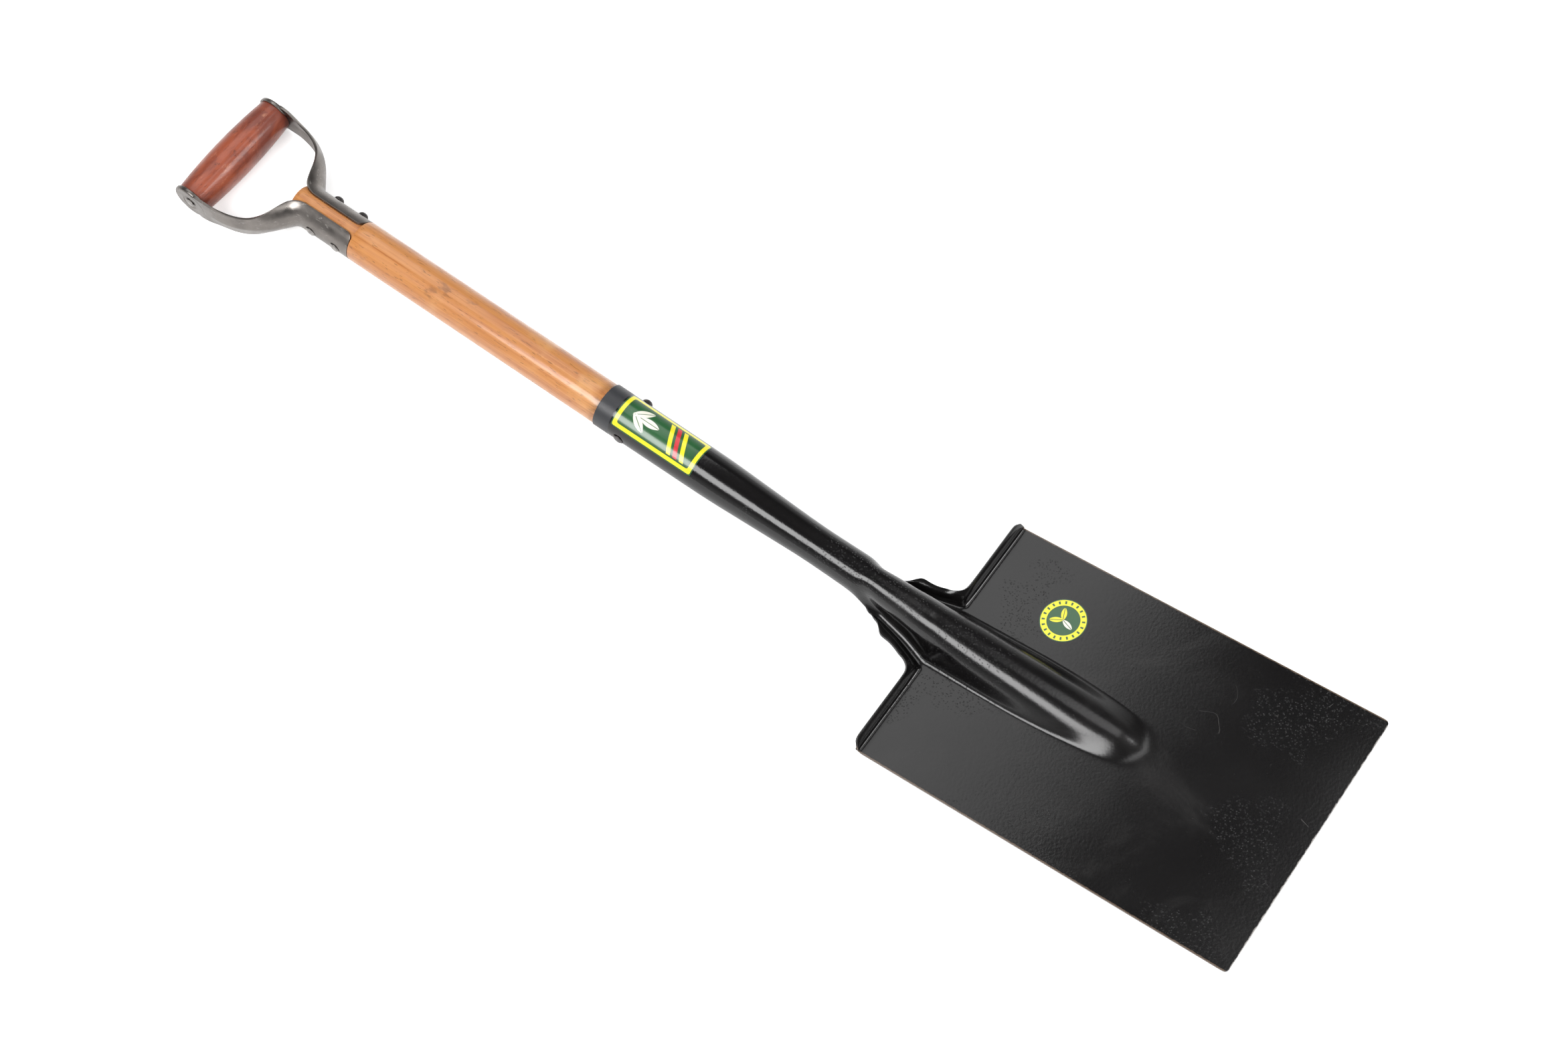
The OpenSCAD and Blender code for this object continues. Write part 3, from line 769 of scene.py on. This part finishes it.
def strap_mesh(form, side):
    bm = bmesh.new()
    columns = 18
    rows = len(form.path) - 1
    make_grid(bm, rows, columns, lambda row, column: form.point(row, column, columns))
    if side < 0:
        bmesh.ops.scale(bm, vec=(1, -1, 1), verts=bm.verts)
    bmesh.ops.recalc_face_normals(bm, faces=bm.faces)
    return bm


def cup_mesh(sizes, side):
    """The dished end of a strap: a face, a rounded rim and a lip around the grip's end."""
    bm = bmesh.new()
    t, wall = sizes.strap_t, 0.0013
    r = sizes.grip_end_r + 0.00015 + wall
    out = STRAP_OUT_Y
    edge = 0.0020
    profile = [(out - t, 0), (out - t, r - wall - 0.001), (out - t - 0.0004, r - wall)]
    profile += [(out - t - sizes.lip, r - wall), (out - t - sizes.lip, r - 0.0003)]
    profile += [(out - t - sizes.lip + 0.0003, r)]
    for i in range(7):
        a = math.pi / 2 * i / 6
        profile.append((out - edge + edge * math.sin(a), r - edge + edge * math.cos(a)))
    profile += [(out - 0.0004, 0.0095), (out - 0.0001, 0.0074), (out - 0.0009, 0.0060), (out - 0.0009, 0)]
    spin_profile(bm, profile, (0, 1, 0), (GRIP_X, 0, AXIS_Z), 72)
    close_up(bm)
    for vert in bm.verts:
        deep = out - t - vert.co.y
        if deep > 0:
            turn = math.atan2(vert.co.z - AXIS_Z, vert.co.x - GRIP_X)
            keep = smooth((abs(turn) - 0.50) / 0.35)
            vert.co.y = out - t - deep * lerp(0.12, 1, keep)
    if side < 0:
        bmesh.ops.scale(bm, vec=(1, -1, 1), verts=bm.verts)
        bmesh.ops.recalc_face_normals(bm, faces=bm.faces)
    return bm


def joined(parts):
    """One bmesh with the faces of all the parts."""
    whole = bmesh.new()
    for part in parts:
        mesh = bpy.data.meshes.new("part")
        part.to_mesh(mesh)
        part.free()
        whole.from_mesh(mesh)
        bpy.data.meshes.remove(mesh)
    return whole


def thick_sheet(bm, thickness, edge):
    """Gives a sheet its thickness, a subdivision and rounded edges, as a bmesh."""
    mesh = bpy.data.meshes.new("sheet")
    bm.to_mesh(mesh)
    bm.free()
    sheet = bpy.data.objects.new("sheet", mesh)
    bpy.context.scene.collection.objects.link(sheet)
    for kind, settings in (
        subdivide(1),
        ("SOLIDIFY", {"thickness": thickness, "offset": 0}),
        bevel(edge),
    ):
        modifier = sheet.modifiers.new(kind.title(), kind)
        for key, value in settings.items():
            setattr(modifier, key, value)
    graph = bpy.context.evaluated_depsgraph_get()
    settled = sheet.evaluated_get(graph).to_mesh()
    made = bmesh.new()
    made.from_mesh(settled)
    sheet.evaluated_get(graph).to_mesh_clear()
    bpy.data.objects.remove(sheet)
    bpy.data.meshes.remove(mesh)
    return made


def rivet_mesh(x, half, sizes):
    """A rivet across the spade, with a domed head on +Y and a hammered tail on -Y."""
    bm = bmesh.new()
    r, h = sizes.rivet_head_r, sizes.rivet_head_h
    shank = 0.003
    profile = [(-half - 0.0007, 0), (-half - 0.0007, r * 0.42), (-half - 0.0006, r * 0.70)]
    profile += [(-half - 0.0004, r * 0.93), (-half - 0.0001, r * 0.99), (-half + 0.0002, r * 0.95)]
    profile += [(-half + 0.0003, shank), (half - 0.0003, shank), (half - 0.0002, r * 0.97)]
    profile += [(half + h * math.sin(a), r * math.cos(a)) for a in [i * math.pi / 20 for i in range(10)]]
    profile += [(half + h, 0)]
    spin_profile(bm, profile, (0, 1, 0), (x, 0, AXIS_Z), 40)
    close_up(bm)
    for vert in bm.verts:
        turn = math.atan2(vert.co.z - AXIS_Z, vert.co.x - x)
        if vert.co.y < -half + 0.0001:
            grow = 1 + 0.07 * math.sin(3 * turn + 1) + 0.05 * math.sin(5 * turn + 2)
            vert.co.x = x + (vert.co.x - x) * grow
            vert.co.z = AXIS_Z + (vert.co.z - AXIS_Z) * grow
            vert.co.y += 0.0002 * math.sin(4 * turn) * (grow - 0.9)
        elif vert.co.y > half:
            grow = 1 + 0.02 * math.sin(2 * turn + 0.6) + 0.015 * math.sin(5 * turn)
            vert.co.x = x + (vert.co.x - x) * grow
            vert.co.z = AXIS_Z + (vert.co.z - AXIS_Z) * grow
    return bm


# ---------------------------------------------------------------- operators


class SPADE_OT_head(bpy.types.Operator):
    """Press the blade, treads, frog and socket from one sheet"""

    bl_idname = "spade.head"
    bl_label = "Pressed Head"

    def execute(self, context):
        sizes = context.scene.spade_head
        thickness = {"thickness": sizes.sheet_t, "offset": -1}
        modifiers = (subdivide(2), ("SOLIDIFY", thickness), bevel(0.0004))
        finish = black_paint(context.scene.spade_colours, sizes)
        head = add_piece("pressed_head", head_mesh(sizes), finish, ["blade"], modifiers)
        for vert in head.data.vertices:
            vert.co.y = max(-sizes.blade_half_w, min(sizes.blade_half_w, vert.co.y))
        return {"FINISHED"}


class SPADE_OT_shaft(bpy.types.Operator):
    """Turn the wooden shaft with its spigot and its toe in the socket"""

    bl_idname = "spade.shaft"
    bl_label = "Shaft"

    def execute(self, context):
        sizes = context.scene.spade_shaft
        r, spigot = sizes.shaft_r, sizes.spigot_r
        profile = [(WOOD_TOP_X, 0), (WOOD_TOP_X, spigot * 0.5), (WOOD_TOP_X + 0.0003, spigot * 0.8)]
        profile += [(WOOD_TOP_X + 0.001, spigot * 0.92), (WOOD_TOP_X + 0.0026, spigot * 0.985)]
        profile += [(WOOD_TOP_X + 0.005, spigot), (STRAP_X - 0.0004, spigot), (STRAP_X + 0.0003, r * 0.985)]
        profile += [(STRAP_X + 0.0012, r)]
        bare = MOUTH_X - STRAP_X
        profile += [(STRAP_X + bare * i / 24, r) for i in range(1, 24)]
        wood_r = 0.01635
        profile += [(MOUTH_X - 0.003, r), (MOUTH_X - 0.0002, wood_r), (MOUTH_X + 0.105, 0.01595)]
        profile += [(WOOD_TOE_X, 0.0127), (WOOD_TOE_X, 0)]
        bm = bmesh.new()
        spin_profile(bm, profile, (1, 0, 0), (0, 0, AXIS_Z), sizes.segments)
        close_up(bm)
        finish = shaft_wood(context.scene.spade_colours)
        add_piece("wooden_shaft", bm, finish, ["shaft"])
        return {"FINISHED"}


class SPADE_OT_straps(bpy.types.Operator):
    """Bend the two steel straps and dish their cups"""

    bl_idname = "spade.straps"
    bl_label = "Straps"

    def execute(self, context):
        sizes = context.scene.spade_handle
        form = StrapForm(sizes, context.scene.spade_shaft.shaft_r)
        finish = strap_steel(context.scene.spade_colours)
        for name, node, side in (("strap_left", "left_strap", -1), ("strap_right", "right_strap", 1)):
            band = thick_sheet(strap_mesh(form, side), sizes.strap_t, 0.0005)
            whole = joined([band, cup_mesh(sizes, side)])
            add_piece(name, whole, finish, [node])
        return {"FINISHED"}


class SPADE_OT_grip(bpy.types.Operator):
    """Turn the wooden cross grip"""

    bl_idname = "spade.grip"
    bl_label = "Grip"

    def execute(self, context):
        sizes = context.scene.spade_handle
        middle, end = sizes.grip_r, sizes.grip_end_r
        profile = [(-GRIP_HALF, 0), (-GRIP_HALF, end - 0.0012), (-GRIP_HALF + 0.0004, end - 0.0004)]
        barrel = GRIP_HALF - sizes.lip
        for i in range(-20, 21):
            t = i / 20
            profile.append((t * barrel, middle - (middle - end) * t * t))
        profile += [(GRIP_HALF - 0.0004, end - 0.0004), (GRIP_HALF, end - 0.0012), (GRIP_HALF, 0)]
        bm = bmesh.new()
        spin_profile(bm, profile, (0, 1, 0), (GRIP_X, 0, AXIS_Z), 80)
        close_up(bm)
        finish = grip_wood(context.scene.spade_colours)
        add_piece("cross_grip", bm, finish, ["grip"])
        return {"FINISHED"}


class SPADE_OT_rivets(bpy.types.Operator):
    """Set the four rivets"""

    bl_idname = "spade.rivets"
    bl_label = "Rivets"

    def execute(self, context):
        sizes = context.scene.spade_handle
        finish = rivet_steel(context.scene.spade_colours)
        shaft_r = context.scene.spade_shaft.shaft_r
        for name, half in (
            ("grip_rivet", STRAP_OUT_Y),
            ("upper_handle_rivet", shaft_r),
            ("lower_handle_rivet", shaft_r),
            ("socket_rivet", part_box("socket_rivet")[1].y - sizes.rivet_head_h),
        ):
            bm = rivet_mesh(rivet_x(name), half, sizes)
            add_piece(name + "_set", bm, finish, [name])
        return {"FINISHED"}


class SPADE_OT_labels(bpy.types.Operator):
    """Stick the wrap label on the socket and the round label on the blade"""

    bl_idname = "spade.labels"
    bl_label = "Labels"

    def execute(self, context):
        colours = context.scene.spade_colours
        self.wrap(colours)
        self.round(colours, context.scene.spade_head)
        return {"FINISHED"}

    def wrap(self, colours):
        low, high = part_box("socket_label")
        bm = bmesh.new()
        rows, columns = 36, 40
        half_turn = math.radians(55)

        def place(row, column):
            a, b = row / rows * 2 - 1, column / columns * 2 - 1
            along = a * (1 - 0.012 * b**10)
            turn = half_turn * b * (1 - 0.03 * a**14)
            x = lerp(low.x, high.x, (along + 1) / 2)
            r = at(TUBE_R, (x - MOUTH_X) * 1000 - 307) / 1000 + 0.00008
            return Vector((x, r * math.sin(turn), AXIS_Z + r * math.cos(turn)))

        make_grid(bm, rows, columns, place)
        bmesh.ops.recalc_face_normals(bm, faces=bm.faces)
        if bm.faces[0].normal.z < 0:
            bmesh.ops.reverse_faces(bm, faces=bm.faces)
        layer = bm.loops.layers.uv.new("print")
        middle = (low.x + high.x) / 2
        for face in bm.faces:
            for loop in face.loops:
                co = loop.vert.co
                turn = math.atan2(co.y, co.z - AXIS_Z)
                loop[layer].uv = ((co.x - middle) * 1000, turn * 17.9)
        finish = label_print("socket_label_print", draw_socket_label, colours)
        modifiers = (("SOLIDIFY", {"thickness": 0.00012, "offset": 1}),)
        add_piece("wrap_label", bm, finish, ["socket_label"], modifiers)

    def round(self, colours, sizes):
        low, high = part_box("blade_label")
        centre = (low + high) / 2
        radius = (high.y - low.y) / 2
        bm = bmesh.new()
        bmesh.ops.create_circle(bm, cap_ends=True, radius=radius, segments=72)
        for share in (0.999, 0.97):
            bmesh.ops.inset_region(bm, faces=bm.faces[:1], thickness=radius * (1 - share))
        layer = bm.loops.layers.uv.new("print")
        for face in bm.faces:
            for loop in face.loops:
                loop[layer].uv = (loop.vert.co.x * 1000, loop.vert.co.y * 1000)
        bmesh.ops.translate(bm, vec=(0, 0, -0.00006), verts=bm.verts)
        turn = Matrix.Translation(centre) @ Matrix.Rotation(-sizes.tilt, 4, "Y")
        turn = turn @ Matrix.Rotation(math.radians(70), 4, "Z")
        bmesh.ops.transform(bm, matrix=turn, verts=bm.verts)
        finish = label_print("blade_label_print", draw_blade_label, colours)
        modifiers = (("SOLIDIFY", {"thickness": 0.00014, "offset": 1}),)
        add_piece("round_label", bm, finish, ["blade_label"], modifiers)


class SPADE_OT_stage(bpy.types.Operator):
    """Lay the pale floor and set the lamps and the camera"""

    bl_idname = "spade.stage"
    bl_label = "Stage"

    def execute(self, context):
        scene = context.scene
        self.floor(scene)
        self.world(scene)
        self.lamp(scene, "key_softbox", (-0.28, -0.95, 1.24), (0, 0, 0), (1.0, 0.68), 21)
        self.lamp(scene, "back_softbox", (-0.98, 0.66, 1.45), (-0.98, 0.66, 0), (1.0, 1.4), 8.5)
        self.lamp(scene, "top_softbox", (0.13, 0.48, 1.45), (0.13, 0.48, 0), (0.30, 0.85), 2.0)
        self.lamp(scene, "end_softbox", (1.05, 0.50, 1.15), (0.2, 0, 0), (0.6, 0.7), 12)
        self.camera(scene)
        scene.view_settings.view_transform = "Standard"
        return {"FINISHED"}

    def floor(self, scene):
        bm = bmesh.new()
        bmesh.ops.create_grid(bm, x_segments=1, y_segments=1, size=2.6)
        mesh = bpy.data.meshes.new("floor")
        bm.to_mesh(mesh)
        bm.free()
        floor = bpy.data.objects.new("floor", mesh)
        scene.collection.objects.link(floor)
        material = bpy.data.materials.new("pale_floor")
        material.use_nodes = True
        tree = material.node_tree
        tree.nodes.clear()
        path = tree.nodes.new("ShaderNodeLightPath")
        seen = tree.nodes.new("ShaderNodeMath")
        seen.operation = "MAXIMUM"
        tree.links.new(path.outputs["Is Camera Ray"], seen.inputs[0])
        tree.links.new(path.outputs["Is Glossy Ray"], seen.inputs[1])
        strength = tree.nodes.new("ShaderNodeMath")
        strength.operation = "MULTIPLY"
        strength.inputs[1].default_value = 0.55
        tree.links.new(seen.outputs[0], strength.inputs[0])
        glow = tree.nodes.new("ShaderNodeEmission")
        glow.inputs["Color"].default_value = (1, 1, 1, 1)
        tree.links.new(strength.outputs[0], glow.inputs["Strength"])
        matt = tree.nodes.new("ShaderNodeBsdfDiffuse")
        matt.inputs["Color"].default_value = (0.8, 0.8, 0.8, 1)
        both = tree.nodes.new("ShaderNodeAddShader")
        tree.links.new(matt.outputs[0], both.inputs[0])
        tree.links.new(glow.outputs[0], both.inputs[1])
        out = tree.nodes.new("ShaderNodeOutputMaterial")
        tree.links.new(both.outputs[0], out.inputs["Surface"])
        mesh.materials.append(material)

    def world(self, scene):
        world = bpy.data.worlds.new("studio")
        scene.world = world
        world.use_nodes = True
        tree = world.node_tree
        tree.nodes.clear()
        path = tree.nodes.new("ShaderNodeLightPath")
        mix = tree.nodes.new("ShaderNodeMixShader")
        room = tree.nodes.new("ShaderNodeBackground")
        up = tree.nodes.new("ShaderNodeSeparateXYZ")
        tree.links.new(tree.nodes.new("ShaderNodeTexCoord").outputs["Generated"], up.inputs[0])
        walls = tree.nodes.new("ShaderNodeMapRange")
        for key, value in enumerate((0, 0.12, 0.5, 0.95, 0.13)):
            walls.inputs[key].default_value = value
        tree.links.new(up.outputs["Z"], walls.inputs[0])
        tree.links.new(walls.outputs[0], room.inputs["Strength"])
        seen = tree.nodes.new("ShaderNodeBackground")
        seen.inputs["Color"].default_value = (1, 1, 1, 1)
        out = tree.nodes.new("ShaderNodeOutputWorld")
        tree.links.new(path.outputs["Is Camera Ray"], mix.inputs[0])
        tree.links.new(room.outputs[0], mix.inputs[1])
        tree.links.new(seen.outputs[0], mix.inputs[2])
        tree.links.new(mix.outputs[0], out.inputs["Surface"])

    def lamp(self, scene, name, place, target, size, power):
        data = bpy.data.lights.new(name, "AREA")
        data.shape = "RECTANGLE"
        data.size, data.size_y = size
        data.energy = power
        lamp = bpy.data.objects.new(name, data)
        scene.collection.objects.link(lamp)
        lamp.location = place
        lamp.rotation_mode = "QUATERNION"
        lamp.rotation_quaternion = (Vector(target) - Vector(place)).to_track_quat("-Z", "Y")

    def camera(self, scene):
        data = bpy.data.cameras.new("view")
        data.sensor_width = 36
        data.lens = 52.27
        camera = bpy.data.objects.new("view", data)
        scene.collection.objects.link(camera)
        place = Vector((0.44656, -0.5370, 1.5572))
        aim = Vector((0.05426, 0.0053, 0))
        camera.location = place
        camera.rotation_mode = "QUATERNION"
        roll = Quaternion((0, 0, 1), math.radians(0.11))
        camera.rotation_quaternion = (aim - place).to_track_quat("-Z", "Y") @ roll
        scene.camera = camera


class SPADE_PT_pieces(bpy.types.Panel):
    """Pieces of the garden spade"""

    bl_idname = "SPADE_PT_pieces"
    bl_label = "Garden Spade"
    bl_space_type = "VIEW_3D"
    bl_region_type = "UI"
    bl_category = "Spade"

    def draw(self, context):
        for operator in OPERATORS:
            self.layout.operator(operator.bl_idname)
        for group in ("spade_head", "spade_handle", "spade_shaft", "spade_colours"):
            box = self.layout.box()
            settings = getattr(context.scene, group)
            for key in settings.bl_rna.properties.keys():
                if key not in {"rna_type", "name"}:
                    box.prop(settings, key)


OPERATORS = (
    SPADE_OT_head,
    SPADE_OT_shaft,
    SPADE_OT_straps,
    SPADE_OT_grip,
    SPADE_OT_rivets,
    SPADE_OT_labels,
    SPADE_OT_stage,
)
GROUPS = {
    "spade_head": SpadeHeadSizes,
    "spade_handle": SpadeHandleSizes,
    "spade_shaft": SpadeShaftSizes,
    "spade_colours": SpadeColours,
}


def register():
    for made in (*GROUPS.values(), *OPERATORS, SPADE_PT_pieces):
        bpy.utils.register_class(made)
    for name, group in GROUPS.items():
        setattr(bpy.types.Scene, name, PointerProperty(type=group))


def unregister():
    for name in GROUPS:
        delattr(bpy.types.Scene, name)
    for made in (SPADE_PT_pieces, *reversed(OPERATORS), *reversed(list(GROUPS.values()))):
        bpy.utils.unregister_class(made)


def main():
    register()
    for build in (
        bpy.ops.spade.head,
        bpy.ops.spade.shaft,
        bpy.ops.spade.straps,
        bpy.ops.spade.grip,
        bpy.ops.spade.rivets,
        bpy.ops.spade.labels,
        bpy.ops.spade.stage,
    ):
        build()


if __name__ == "__main__":
    main()
